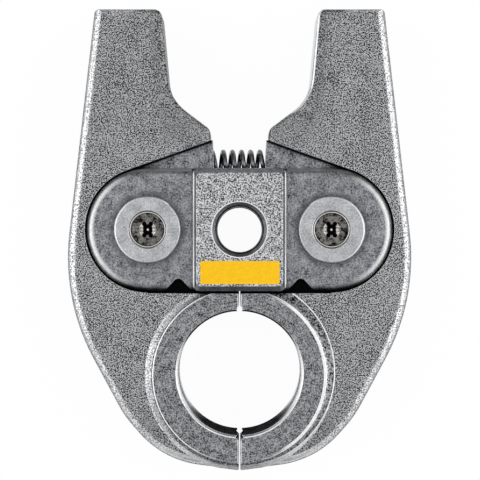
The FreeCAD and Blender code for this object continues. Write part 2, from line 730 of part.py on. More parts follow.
def return_spring():
    """Coil spring along X, ground flat where its ends sit in the two tongues."""
    body = new_body("spring_coil")
    sketch = new_sketch(body, "spring_wire", "XZ_Plane")
    circle_outline(sketch, "spring_outer_radius - spring_wire_radius", "spring_wire_radius")
    half_length = "tongue_half_gap + spring_seat_depth - spring_end_clearance"
    length = half_length + " + " + half_length
    coil = body.newObject("PartDesign::AdditiveHelix", "spring_turns")
    coil.Profile = sketch
    coil.ReferenceAxis = (sketch, ["V_Axis"])
    coil.Mode = "pitch-height-angle"
    bind(coil, {"Pitch": "spring_pitch", "Height": length})
    document.recompute()
    along_x = turn((0, 1, 0), 90)
    place(body, opposite(half_length), "spring_rise", "0", along_x)
    ends = primitive("Cylinder", "spring_ends",
                     {"Radius": "spring_outer_radius + spring_wire_radius", "Height": length},
                     opposite(half_length), "spring_rise", "0", along_x)
    return combined("MultiCommon", "return_spring", body, ends)


pieces = [left_lever(), front_plate()]
pieces.append(mirrored("right_jaw_lever", pieces[0], (1, 0, 0)))
pieces.append(mirrored("back_link_plate", pieces[1], (0, 0, 1)))
for hand, pivot_x in PIVOTS.items():
    pieces.append(pivot_pin(hand + "_pivot_pin", pivot_x))
    for side_name in ("front", "back"):
        pieces.append(washer("%s_%s_washer" % (hand, side_name), pivot_x, side_name))
        pieces.append(screw("%s_%s_screw" % (hand, side_name), pivot_x, side_name))
pieces.append(return_spring())
document.recompute()

for thing in document.Objects:
    if "Invalid" in thing.State or "Error" in thing.State:
        raise RuntimeError("%s was not made" % thing.Name)

os.makedirs("parts", exist_ok=True)
for piece in pieces:
    shape = piece.Shape
    if shape.isNull() or not shape.isValid() or len(shape.Solids) != 1:
        raise RuntimeError("%s is not one valid solid" % piece.Label)
    shape.exportStep("parts/%s.step" % piece.Label)
    print("%s %.1f mm3" % (piece.Label, shape.Volume))
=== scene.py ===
import math

import bmesh
import bpy
from mathutils import Matrix, Vector


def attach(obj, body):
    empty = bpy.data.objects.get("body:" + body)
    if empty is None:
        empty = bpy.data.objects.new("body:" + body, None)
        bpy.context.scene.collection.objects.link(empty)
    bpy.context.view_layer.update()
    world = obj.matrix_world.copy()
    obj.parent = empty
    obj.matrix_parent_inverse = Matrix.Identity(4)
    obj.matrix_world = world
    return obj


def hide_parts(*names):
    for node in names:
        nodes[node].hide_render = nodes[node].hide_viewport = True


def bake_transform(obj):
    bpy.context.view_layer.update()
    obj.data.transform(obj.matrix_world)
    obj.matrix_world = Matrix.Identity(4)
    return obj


# Press fitting tool jaw seen straight from above. Metres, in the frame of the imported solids:
# +X to the right, +Y along the drive arms, +Z out of the front face.

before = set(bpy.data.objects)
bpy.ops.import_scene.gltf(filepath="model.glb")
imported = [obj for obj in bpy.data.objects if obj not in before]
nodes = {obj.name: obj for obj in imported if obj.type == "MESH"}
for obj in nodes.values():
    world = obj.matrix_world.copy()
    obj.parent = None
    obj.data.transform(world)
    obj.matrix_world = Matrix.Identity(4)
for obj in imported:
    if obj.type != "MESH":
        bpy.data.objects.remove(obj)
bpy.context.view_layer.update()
mm = 0.001
print("frame loaded with", len(nodes), "pieces")

# Camera, floor and light

cameraSettings = {
    "place": (0.11 * mm, -2.77 * mm, 600 * mm),
    "sensor": 36,
    "lens": 165.9,  # 480 pixels cover 130 mm of the plane through the pivots
    "nearest": 10 * mm,
}
floorSettings = {
    "height": -14.02 * mm,  # just under the back block, on which the jaw lies
    "width": 4.0,
    "colour": "#fbfbfb",
    "shadowShare": 0.04,  # how much of the real shading shows under the white
}
worldSettings = {
    "overhead": "#e9eaec",
    "sides": "#ffffff",  # white walls left and right
    "ends": "#86878a",  # darker towards the nose and the arms
    "sidesFrom": (0.15, 0.75),  # parts of a direction: where the walls start, and where they are full
    "overheadFrom": (0.35, 0.95),
    "strength": 1.0,
}
lampSettings = {
    "leftPanel": {"place": (-0.45, 0.02, 0.38), "size": (0.4, 0.9), "power": 1.1},
    "rightPanel": {"place": (0.45, 0.02, 0.38), "size": (0.4, 0.9), "power": 1.15},
}


def linearColour(hexText):
    levels = [int(hexText[start:start + 2], 16) / 255 for start in (1, 3, 5)]
    return [v / 12.92 if v <= 0.04045 else ((v + 0.055) / 1.055) ** 2.4 for v in levels] + [1.0]


# adds a node; settings are its own options, links are values or sockets for its inputs
def addNode(tree, kind, links=None, **settings):
    node = tree.nodes.new(kind)
    for name, value in settings.items():
        setattr(node, name, value)
    for socket, source in (links or {}).items():
        if isinstance(source, bpy.types.NodeSocket):
            tree.links.new(source, node.inputs[socket])
        else:
            node.inputs[socket].default_value = source
    return node


# a mask that turns from 0 to 1 where a value passes from one level to another
def addStep(tree, value, start, full):
    step = addNode(tree, "ShaderNodeMapRange", {"Value": value, "From Min": start, "From Max": full},
                   interpolation_type="SMOOTHSTEP")
    return step.outputs[0]


# where all the masks hold
def allOf(tree, *masks):
    whole = masks[0]
    for mask in masks[1:]:
        whole = addNode(tree, "ShaderNodeMath", {0: whole, 1: mask}, operation="MULTIPLY").outputs[0]
    return whole


# where any of the masks holds
def anyOf(tree, *masks):
    whole = masks[0]
    for mask in masks[1:]:
        whole = addNode(tree, "ShaderNodeMath", {0: whole, 1: mask}, operation="MAXIMUM").outputs[0]
    return whole


# where a mask doesn't hold
def noneOf(tree, mask):
    return addNode(tree, "ShaderNodeMath", {0: 1.0, 1: mask}, operation="SUBTRACT").outputs[0]


# a value without its sign
def sizeOf(tree, value):
    return addNode(tree, "ShaderNodeMath", {0: value}, operation="ABSOLUTE").outputs[0]


def makeCamera(settings):
    camera = bpy.data.objects.new("camera", bpy.data.cameras.new("camera"))
    bpy.context.scene.collection.objects.link(camera)
    camera.location = settings["place"]
    camera.data.lens = settings["lens"]
    camera.data.sensor_width = settings["sensor"]
    camera.data.clip_start = settings["nearest"]
    bpy.context.scene.camera = camera


def makeFloor(settings):
    mesh = bpy.data.meshes.new("floor")
    shape = bmesh.new()
    bmesh.ops.create_grid(shape, x_segments=1, y_segments=1, size=settings["width"] / 2,
                          matrix=Matrix.Translation((0, 0, settings["height"])))
    shape.to_mesh(mesh)
    shape.free()
    floor = bpy.data.objects.new("floor", mesh)
    bpy.context.scene.collection.objects.link(floor)
    material = bpy.data.materials.new("white paper")
    material.use_nodes = True
    tree = material.node_tree
    tree.nodes.clear()
    rays = addNode(tree, "ShaderNodeLightPath")
    seen = anyOf(tree, rays.outputs["Is Camera Ray"], rays.outputs["Is Glossy Ray"],
                 rays.outputs["Is Transmission Ray"])
    share = allOf(tree, seen, 1 - settings["shadowShare"])
    paper = addNode(tree, "ShaderNodeBsdfDiffuse", {"Color": linearColour(settings["colour"])})
    glow = addNode(tree, "ShaderNodeEmission", {"Color": (1, 1, 1, 1), "Strength": 1.0})
    mixed = addNode(tree, "ShaderNodeMixShader", {0: share, 1: paper.outputs[0], 2: glow.outputs[0]})
    addNode(tree, "ShaderNodeOutputMaterial", {"Surface": mixed.outputs[0]})
    mesh.materials.append(material)


def makeWorld(settings):
    world = bpy.data.worlds.new("studio")
    bpy.context.scene.world = world
    world.use_nodes = True
    tree = world.node_tree
    tree.nodes.clear()
    direction = addNode(tree, "ShaderNodeTexCoord")
    parts = addNode(tree, "ShaderNodeSeparateXYZ", {0: direction.outputs["Generated"]})
    sideways = addStep(tree, sizeOf(tree, parts.outputs["X"]), *settings["sidesFrom"])
    height = addStep(tree, parts.outputs["Z"], *settings["overheadFrom"])
    walls = addNode(tree, "ShaderNodeMix", {0: sideways, 6: linearColour(settings["ends"]),
                                            7: linearColour(settings["sides"])}, data_type="RGBA")
    sky = addNode(tree, "ShaderNodeMix", {0: height, 6: walls.outputs[2],
                                          7: linearColour(settings["overhead"])}, data_type="RGBA")
    # the camera sees plain white where the floor ends
    rays = addNode(tree, "ShaderNodeLightPath")
    shown = addNode(tree, "ShaderNodeMix", {0: rays.outputs["Is Camera Ray"], 6: sky.outputs[2],
                                            7: (1, 1, 1, 1)}, data_type="RGBA")
    light = addNode(tree, "ShaderNodeBackground", {"Color": shown.outputs[2],
                                                   "Strength": settings["strength"]})
    addNode(tree, "ShaderNodeOutputWorld", {"Surface": light.outputs[0]})


def makeLamp(name, settings):
    lamp = bpy.data.objects.new(name, bpy.data.lights.new(name, "AREA"))
    bpy.context.scene.collection.objects.link(lamp)
    lamp.location = settings["place"]
    lamp.rotation_euler = (-Vector(settings["place"])).to_track_quat("-Z", "Y").to_euler()
    lamp.data.shape = "RECTANGLE"
    lamp.data.size, lamp.data.size_y = settings["size"]
    lamp.data.energy = settings["power"]
    lamp.visible_camera = False


bpy.context.scene.view_settings.view_transform = "Standard"
makeCamera(cameraSettings)
makeFloor(floorSettings)
makeWorld(worldSettings)
for lampName, lampValues in lampSettings.items():
    makeLamp(lampName, lampValues)
print("camera, floor and lamps set")

# Steel finishes. Colours run from the dark to the light ends of a finish; sizes are in mm, and
# a grain finer than the picture's own 0.27 mm is drawn at about 0.3 mm so that it still shows.

noiseEnds = (0.3, 0.7)  # nearly all of a noise's output lies between these
wearHighlightTurn = (0.99, 0.85)  # cosine of the turn over a rounded edge: where the wear and painted highlight start, and where they are full
cornerShadeSky = (0.88, 0.5)  # open sky over a corner: where the painted corner shade starts, and where it is full


# one finish over the whole piece: its colour, roughness and surface height; along is where its
# streaks run, if they don't run straight
def addFinish(tree, place, finish, along=None):
    fine = addNode(tree, "ShaderNodeTexNoise", {"Vector": place, "Scale": 1 / finish["grain"],
                                                "Detail": 1.0, "Roughness": 0.5})
    broad = addNode(tree, "ShaderNodeTexNoise", {"Vector": place, "Scale": 1 / finish["cloud"],
                                                 "Detail": 4.0, "Roughness": 0.62})
    level = addNode(tree, "ShaderNodeMix", {0: finish["cloudShare"], 2: fine.outputs[0],
                                            3: broad.outputs[0]}).outputs[0]
    height = fine.outputs[0]
    if finish.get("streaks"):
        streaks = finish["streaks"]
        laid = addNode(tree, "ShaderNodeMapping", {"Vector": along or place, "Scale": streaks["size"],
                                                   "Rotation": (0, 0, math.radians(streaks["angle"]))},
                       vector_type="TEXTURE")
        drawn = addNode(tree, "ShaderNodeTexNoise", {"Vector": laid.outputs[0], "Scale": 1.0, "Detail": 1.0})
        level = addNode(tree, "ShaderNodeMix", {0: streaks["share"], 2: level,
                                                3: drawn.outputs[0]}).outputs[0]
        height = addNode(tree, "ShaderNodeMix", {0: streaks["heightShare"], 2: height,
                                                 3: drawn.outputs[0]}).outputs[0]
    spread = addNode(tree, "ShaderNodeMapRange", {"Value": level, "From Min": 0.5 - finish["spread"],
                                                  "From Max": 0.5 + finish["spread"]})
    colour = addNode(tree, "ShaderNodeMix", {0: spread.outputs[0], 6: linearColour(finish["dark"]),
                                             7: linearColour(finish["light"])}, data_type="RGBA")
    rough = addNode(tree, "ShaderNodeMapRange", {"Value": broad.outputs[0], "From Min": noiseEnds[0],
                                                 "From Max": noiseEnds[1], "To Min": finish["rough"][0],
                                                 "To Max": finish["rough"][1]})
    tall = addNode(tree, "ShaderNodeMath", {0: height, 1: finish["bump"] * mm}, operation="MULTIPLY")
    return {"colour": colour.outputs[2], "rough": rough.outputs[0], "height": tall.outputs[0]}


# lays one finish over another where the mask is 1
def coverFinish(tree, under, over, mask):
    colour = addNode(tree, "ShaderNodeMix", {0: mask, 6: under["colour"], 7: over["colour"]},
                     data_type="RGBA")
    rough = addNode(tree, "ShaderNodeMix", {0: mask, 2: under["rough"], 3: over["rough"]})
    height = addNode(tree, "ShaderNodeMix", {0: mask, 2: under["height"], 3: over["height"]})
    return {"colour": colour.outputs[2], "rough": rough.outputs[0], "height": height.outputs[0]}


# Zones say where a finish lies, by what a surface point reads: places in mm, and the ways that the
# surface faces in parts of 1. A pair is the reading where the zone starts and the one where it is full.
# Three numbers are the low and high ends of a range, and how soft its ends are. A list holds several.
def addZone(tree, spots, zone):
    masks = []
    for reading, limits in zone.items():
        for limit in limits if isinstance(limits, list) else [limits]:
            if len(limit) == 3:
                low, high, soft = limit
                masks += [addStep(tree, spots[reading], low - soft, low + soft),
                          addStep(tree, spots[reading], high + soft, high - soft)]
            else:
                masks.append(addStep(tree, spots[reading], *limit))
    return allOf(tree, *masks)


def addZones(tree, spots, zones):
    return {name: addZone(tree, spots, zone) for name, zone in zones.items()}


# distance of a place from an upright axis
def addRadius(tree, place, x, y):
    flat = addNode(tree, "ShaderNodeMapping", {"Vector": place, "Scale": (1, 1, 0), "Location": (-x, -y, 0)})
    return addNode(tree, "ShaderNodeVectorMath", {0: flat.outputs[0]}, operation="LENGTH").outputs["Value"]


# starts a material with what its zones read: the place in mm, its distance across from the middle and
# in depth from the mid-plane, and how the surface faces
def startMaterial(name):
    material = bpy.data.materials.new(name)
    material.use_nodes = True
    tree = material.node_tree
    tree.nodes.clear()
    metres = addNode(tree, "ShaderNodeTexCoord").outputs["Object"]
    place = addNode(tree, "ShaderNodeVectorMath", {0: metres, "Scale": 1 / mm}, operation="SCALE").outputs[0]
    folded = addNode(tree, "ShaderNodeVectorMath", {0: place}, operation="ABSOLUTE").outputs[0]
    parts = addNode(tree, "ShaderNodeSeparateXYZ", {0: place})
    shape = addNode(tree, "ShaderNodeNewGeometry")
    facing = addNode(tree, "ShaderNodeSeparateXYZ", {0: shape.outputs["Normal"]})
    spots = {"place": place, "folded": folded, "x": parts.outputs["X"], "y": parts.outputs["Y"],
             "faceX": facing.outputs["X"]}
    spots["across"] = sizeOf(tree, parts.outputs["X"])
    spots["depth"] = sizeOf(tree, parts.outputs["Z"])
    spots["sideward"] = sizeOf(tree, facing.outputs["X"])
    spots["endward"] = sizeOf(tree, facing.outputs["Y"])
    spots["level"] = sizeOf(tree, facing.outputs["Z"])
    return material, tree, spots


# joins the finish to a metal shader; rounded edges are brightened, as wear and painted highlight, and corners
# are darkened with painted shade, but the first mask keeps the painted shade off and the second keeps the
# brightening off; where the last mask holds, the surface is dull and no metal, as painted shade
def endMaterial(tree, finish, edge, unshaded=None, noWearHighlight=None, matteShade=None, ownShapeOnly=False):
    soft = addNode(tree, "ShaderNodeBevel", {"Radius": edge["round"] * mm}, samples=6)
    bumped = addNode(tree, "ShaderNodeBump", {"Height": finish["height"], "Distance": 1.0, "Strength": 1.0,
                                              "Normal": soft.outputs[0]})
    shape = addNode(tree, "ShaderNodeNewGeometry")
    likeness = addNode(tree, "ShaderNodeVectorMath", {0: soft.outputs[0], 1: shape.outputs["Normal"]},
                       operation="DOT_PRODUCT")
    # rounded edges brightened: wear and painted highlight
    wearHighlightMask = addNode(tree, "ShaderNodeMapRange", {"Value": likeness.outputs["Value"], "From Min": wearHighlightTurn[0],
                                                "From Max": wearHighlightTurn[1], "To Max": edge["wearHighlight"]}).outputs[0]
    if noWearHighlight is not None:
        wearHighlightMask = allOf(tree, wearHighlightMask, noneOf(tree, noWearHighlight))
    rubbedHighlit = addNode(tree, "ShaderNodeMix", {0: wearHighlightMask, 6: finish["colour"],
                                             7: linearColour(edge["colour"])}, data_type="RGBA")
    # corners with little open sky are darkened: painted shade
    corner = addNode(tree, "ShaderNodeAmbientOcclusion", {"Distance": edge["cornerShadeReach"] * mm}, samples=8,
                     only_local=ownShapeOnly)
    cornerShaded = addNode(tree, "ShaderNodeMapRange", {"Value": corner.outputs["AO"], "From Min": cornerShadeSky[0],
                                                "From Max": cornerShadeSky[1], "To Max": edge["cornerShade"]}).outputs[0]
    if unshaded is not None:
        cornerShaded = allOf(tree, cornerShaded, noneOf(tree, unshaded))
    colour = addNode(tree, "ShaderNodeMix", {0: cornerShaded, 6: rubbedHighlit.outputs[2],
                                             7: linearColour(edge["cornerShadeColour"])}, data_type="RGBA")
    surface = {"Base Color": colour.outputs[2], "Metallic": 1.0, "Roughness": finish["rough"],
               "Normal": bumped.outputs[0]}
    if matteShade is not None:
        surface["Metallic"] = noneOf(tree, matteShade)
        surface["Specular IOR Level"] = allOf(tree, surface["Metallic"], 0.5)
    shader = addNode(tree, "ShaderNodeBsdfPrincipled", surface)
    addNode(tree, "ShaderNodeOutputMaterial", {"Surface": shader.outputs[0]})


# the first finish, covered by the others in their order
def addLayers(tree, made, first, layers):
    finish = made[first]
    for name, mask in layers:
        finish = coverFinish(tree, finish, made[name], mask)
    return finish


def coverNode(name, material):
    node = nodes[name]
    if not node.data.materials:
        node.data.materials.append(material)
    for index in range(len(node.data.materials)):
        node.data.materials[index] = material


# Levers: forged outside, turned die face, milled recess floors

leverSettings = {
    # middles of the die's rim, of the bore and of the outer line of the painted shade strip
    "die": (0, -38.9),
    "bore": (0, -38.2),
    "stripEdge": (0.35, -37.9),
    "armLean": 0.092,  # the arms' inner sides lean away from the middle by this
    "wallFacing": (0.3355, 0.942, 0.0),  # the way that the recess's upper wall faces, on the right
    "frayed": {"grain": 0.55, "reach": 3.0},  # ragged outer edge of the slope
    "noseShare": 0.65,  # of the bare, painted-highlight finish over the rubbed, highlit one, round the nose
    "boreShadeCut": 0.5,  # the bore gets this much less painted corner shade than other corners
    # edge: rounded edges brightened by wear and painted highlight; corners darkened by painted shade
    "edge": {"round": 0.22, "wearHighlight": 0.7, "colour": "#f2f3f5", "cornerShade": 1.0, "cornerShadeReach": 1.4,
             "cornerShadeColour": "#0c0c0d"},
}
leverFinishes = {
    # drop forged and shot blasted: salt and pepper of small bright and dark facets
    "blasted": {"dark": "#080809", "light": "#b6b7b8", "grain": 0.31, "cloud": 6.0, "cloudShare": 0.12,
                "spread": 0.072, "rough": (0.36, 0.52), "bump": 0.04},
    # the same, blacker, as painted shade along the arms' inner sides and beside the die
    "blastedShade": {"dark": "#060607", "light": "#a6a7a8", "grain": 0.36, "cloud": 3.0, "cloudShare": 0.2,
              "spread": 0.09, "rough": (0.38, 0.54), "bump": 0.04},
    # outer edges of the forging, brighter from handling and from a painted highlight
    "rubbedHighlit": {"dark": "#6a6b6e", "light": "#fdfdfe", "grain": 0.36, "cloud": 3.0, "cloudShare": 0.2,
               "spread": 0.13, "rough": (0.30, 0.44), "bump": 0.03},
    # steep slope round the die, painted bright as a highlight where it faces the side lamps
    "slope": {"dark": "#3a3b3e", "light": "#e2e3e4", "grain": 0.34, "cloud": 2.0, "cloudShare": 0.25,
              "spread": 0.14, "rough": (0.28, 0.45), "bump": 0.045},
    # bare rim of the die face and other edges: rubbed steel with a painted highlight
    "bareHighlit": {"dark": "#dcdddf", "light": "#ffffff", "grain": 0.5, "cloud": 2.0, "cloudShare": 0.5,
              "spread": 0.25, "rough": (0.3, 0.4), "bump": 0.006},
    # painted shade: the dark strip beside the slope on the right lever, the dark line along the die's rim,
    # and the left lever's roller ramp
    "darkShade": {"dark": "#070708", "light": "#a3a4a5", "grain": 0.5, "cloud": 2.0, "cloudShare": 0.3,
             "spread": 0.11, "rough": (0.4, 0.55), "bump": 0.08},
    # die face turned and then tumbled: cloudy, with broken marks of the tool that run round it
    "turned": {"dark": "#141516", "light": "#adaeb0", "grain": 0.34, "cloud": 2.0, "cloudShare": 0.35,
               "spread": 0.125, "rough": (0.30, 0.42), "bump": 0.012,
               "streaks": {"angle": 0, "size": (0.34, 4.0, 9.0), "share": 0.14, "heightShare": 0.6}},
    # milled floor of the recess, stained
    "milled": {"dark": "#121213", "light": "#acadb0", "grain": 0.5, "cloud": 2.4, "cloudShare": 0.45,
               "spread": 0.15, "rough": (0.36, 0.5), "bump": 0.014},
    # near black, painted shade on the lower part of the recess, along its upper wall and in the bore's mouth
    # at the hinge
    "blackShade": {"dark": "#020202", "light": "#141312", "grain": 0.6, "cloud": 2.0, "cloudShare": 0.5,
               "spread": 0.2, "rough": (0.4, 0.55), "bump": 0.01},
    # pressing lands, rubbed bright by the fittings; painted highlight on the right roller ramp, the tongues'
    # ends and the split faces
    "boredHighlit": {"dark": "#9a9b9e", "light": "#f0f1f3", "grain": 0.8, "cloud": 4.0, "cloudShare": 0.6,
              "spread": 0.3, "rough": (0.2, 0.34), "bump": 0.006},
    # dull and near black, painted shade on the groove and the lands where they face towards the hinge and the
    # nose
    "dullShade": {"dark": "#121213", "light": "#464648", "grain": 0.5, "cloud": 1.6, "cloudShare": 0.5,
               "spread": 0.2, "rough": (0.9, 1.0), "bump": 0.01},
}
leverZones = {
    "rightSide": {"x": (0, 0.01)},
    "leftSide": {"x": (0, -0.01)},
    # painted shade along the arms' inner sides, and beside the lower half of the die
    "besideArm": {"fromArmSide": (19.7, 17.0), "y": (20, 34)},
    "besideDie": {"fromDie": (29.5, 26.5), "y": (-46, -54)},
    # round edges of the forging, away from the inner corners of the arms; the arms' ends are cut square, so
    # of the edges that face along the tool only the low ones count
    "tilted": {"level": [(0.999, 0.95), (0.4, 0.8)], "depth": (7.0, 11.2, 0.3)},
    "innerCorners": {"across": (30, 27), "y": (-4, 0)},
    "notCut": {"endward": (0.95, 0.7)},
    "low": {"y": (-48, -54)},
    "nose": {"y": (-55, -60)},
    # roller ramps: painted shade on the left one, which faces right, and painted highlight on the right one,
    # which faces left
    "ramp": {"y": (31, 90, 1.0), "sideward": (0.2, 0.4)},
    "facesRight": {"faceX": (0.1, 0.2)},
    "facesLeft": {"faceX": (-0.1, -0.2)},
    # slope round the die, where it faces the side lamps: painted highlight
    "slope": {"depth": (10.4, 11.97, 0.02), "sideward": (0.26, 0.5), "y": (-58, -49),
              "fromDie": (23.15, 40, 0.03), "frayed": (26.75, 25.95)},
    # painted shade strip beside the slope on the right, and the painted highlight line that ends it
    "strip": {"x": (0, 0.01), "fromDie": (23.6, 30, 0.2), "fromStripEdge": (-5, 24.85, 0.1),
              "depth": (10.3, 11.7, 0.05)},
    "stripLine": {"x": (0, 0.01), "depth": (10.3, 11.4, 0.05), "fromStripEdge": (24.85, 25.1, 0.08)},
    "dieFace": {"depth": (11.97, 20, 0.02)},
    # rim of the die face, wider on the right, with a painted highlight, and the painted shadow line along it,
    # which lies outside it on the left and inside it on the right
    "rim": {"fromDie": (22.93, 23.2, 0.04), "depth": (11.6, 12.5, 0.05), "across": (3, 15)},
    "wideRim": {"x": (0, 0.01), "fromDie": (22.4, 24, 0.06), "depth": (11.97, 20, 0.02), "across": (8, 15)},
    "outsideRim": {"x": (0, -0.01), "fromDie": (23.25, 23.51, 0.04)},
    "insideRim": {"x": (0, 0.01), "fromDie": (22.05, 22.35, 0.05)},
    "darkRim": {"across": (8, 15), "depth": (11.0, 12.5, 0.05)},
    # recess: floor, painted black shade on its lower part, walls painted black above, and no painted corner
    # shade round the lobes
    "floor": {"depth": (6.4, 6.6, 0.03), "level": (0.9, 0.96)},
    "lowerFloor": {"y": (-40, -10.4, 0.6)},
    "recess": {"depth": (6.4, 10.45, 0.03)},
    "upperWall": {"y": (12, 30, 0.5), "towardsWall": (24.57, 25.12, 0.08), "across": (34, 28)},
    "roundLobes": {"level": (0.7, 0.4), "y": (-14, 15, 1.0)},
    "aboveLobes": {"y": (14, 30, 1.5), "towardsWall": (-5, 23.12, 0.5)},
    # the tongues' faces towards each other, painted bright as a highlight
    "tongueEnd": {"across": (6, 7.7, 0.05), "y": (11.5, 24.5, 0.05), "depth": (-5, 6.55, 0.05),
                  "sideward": (0.3, 0.6)},
    # bore: its wall, dull and black as painted shade where it faces along the tool, and its rounded mouth
    "wall": {"fromBore": (-5, 18.6, 0.03), "depth": (-5, 11.95, 0.03)},
    "facesAlong": {"endward": (0.62, 0.92)},
    "lowWall": {"y": (-46, -52)},
    "belowMouth": {"depth": (-12.5, 11.45, 0.03)},
    "mouth": {"depth": (11.45, 12.1, 0.03)},
    "mouthEdge": {"fromBore": (-5, 17.3, 0.04)},
    "atHinge": {"y": (-33, -27), "fromBore": (-5, 16.8, 0.04)},
    "nearNose": {"y": (-27, -33)},
    "atSides": {"across": (8, 13), "fromBore": (-5, 17.05, 0.04)},
    "atBottom": {"fromBore": (-5, 16.75, 0.04)},
    "bottomLine": {"fromBore": (16.88, 17.25, 0.05), "y": (-48, -53)},
    # where the two levers meet: painted bright as a highlight, with no painted corner shade
    "split": {"across": (-5, 0.62, 0.05), "y": (-90, -17.2, 0.05), "sideward": (0.3, 0.6)},
    "slopeFoot": {"fromDie": (24.65, 27, 0.1), "depth": (10.3, 11.3, 0.1)},
}


def makeLeverSteel(settings, finishes, zones):
    material, tree, spots = startMaterial("shot blasted forged steel")
    for name, middle in (("fromDie", "die"), ("fromBore", "bore"), ("fromStripEdge", "stripEdge")):
        spots[name] = addRadius(tree, spots["place"], *settings[middle])
    lean = addNode(tree, "ShaderNodeMath", {0: spots["y"], 1: settings["armLean"]}, operation="MULTIPLY")
    spots["fromArmSide"] = addNode(tree, "ShaderNodeMath", {0: spots["across"], 1: lean.outputs[0]},
                                   operation="SUBTRACT").outputs[0]
    aside = addNode(tree, "ShaderNodeCombineXYZ", {0: spots["across"], 1: spots["y"]})
    towards = addNode(tree, "ShaderNodeVectorMath", {0: aside.outputs[0], 1: settings["wallFacing"]},
                      operation="DOT_PRODUCT")
    spots["towardsWall"] = towards.outputs["Value"]
    ragged = addNode(tree, "ShaderNodeTexNoise", {"Vector": spots["place"], "Detail": 2.0,
                                                  "Scale": 1 / settings["frayed"]["grain"]})
    frayed = addNode(tree, "ShaderNodeMath", {0: ragged.outputs[0], 1: settings["frayed"]["reach"],
                                              2: spots["fromDie"]}, operation="MULTIPLY_ADD")
    spots["frayed"] = frayed.outputs[0]
    roundDie = addNode(tree, "ShaderNodeCombineXYZ", {0: spots["fromDie"], 1: spots["y"], 2: spots["x"]})
    made = {name: addFinish(tree, spots["place"], finish, roundDie.outputs[0])
            for name, finish in finishes.items()}
    at = addZones(tree, spots, zones)

    tilted = allOf(tree, at["tilted"], anyOf(tree, at["notCut"], at["low"]), noneOf(tree, at["innerCorners"]))
    darkRim = allOf(tree, at["darkRim"], anyOf(tree, at["outsideRim"], at["insideRim"]))
    endFacing = allOf(tree, at["wall"], at["belowMouth"], anyOf(tree, at["facesAlong"], at["lowWall"]))
    mouth = allOf(tree, at["mouth"], at["mouthEdge"])
    # round the mouth: painted highlight towards the nose, painted shade at the hinge
    brightMouth = allOf(tree, at["mouth"], at["nearNose"],
                        anyOf(tree, at["atSides"], at["atBottom"], at["bottomLine"]))
    blackMouth = allOf(tree, at["mouth"], at["atHinge"])
    finish = addLayers(tree, made, "blasted", (
        ("blastedShade", anyOf(tree, at["besideArm"], at["besideDie"])),
        ("rubbedHighlit", tilted),
        ("bareHighlit", allOf(tree, tilted, at["nose"], settings["noseShare"])),
        ("darkShade", allOf(tree, at["ramp"], at["leftSide"], at["facesRight"])),
        ("boredHighlit", allOf(tree, at["ramp"], at["rightSide"], at["facesLeft"])),
        ("slope", at["slope"]),
        ("darkShade", at["strip"]),
        ("bareHighlit", at["stripLine"]),
        ("turned", at["dieFace"]),
        ("bareHighlit", anyOf(tree, at["rim"], at["wideRim"])),
        ("darkShade", darkRim),
        ("milled", at["floor"]),
        ("blackShade", allOf(tree, at["floor"], at["lowerFloor"])),
        ("blackShade", allOf(tree, at["recess"], at["upperWall"])),
        ("boredHighlit", at["tongueEnd"]),
        ("boredHighlit", at["wall"]),
        ("dullShade", endFacing),
        ("turned", mouth),
        ("bareHighlit", brightMouth),
        ("blackShade", blackMouth),
        ("boredHighlit", at["split"]),
    ))
    # where no painted corner shade lies
    unshaded = anyOf(tree, at["split"], allOf(tree, at["recess"], at["roundLobes"]),
                  allOf(tree, at["floor"], at["aboveLobes"]), mouth,
                  allOf(tree, at["wall"], settings["boreShadeCut"]), at["slopeFoot"])
    endMaterial(tree, finish, settings["edge"], unshaded, anyOf(tree, blackMouth, at["slopeFoot"], endFacing),
                matteShade=endFacing)
    return material


leverSteel = makeLeverSteel(leverSettings, leverFinishes, leverZones)
coverNode("left_jaw_lever", leverSteel)
coverNode("right_jaw_lever", leverSteel)
print("levers finished")

# Link plates: tumbled lobes, and a bolt block with a lighter face

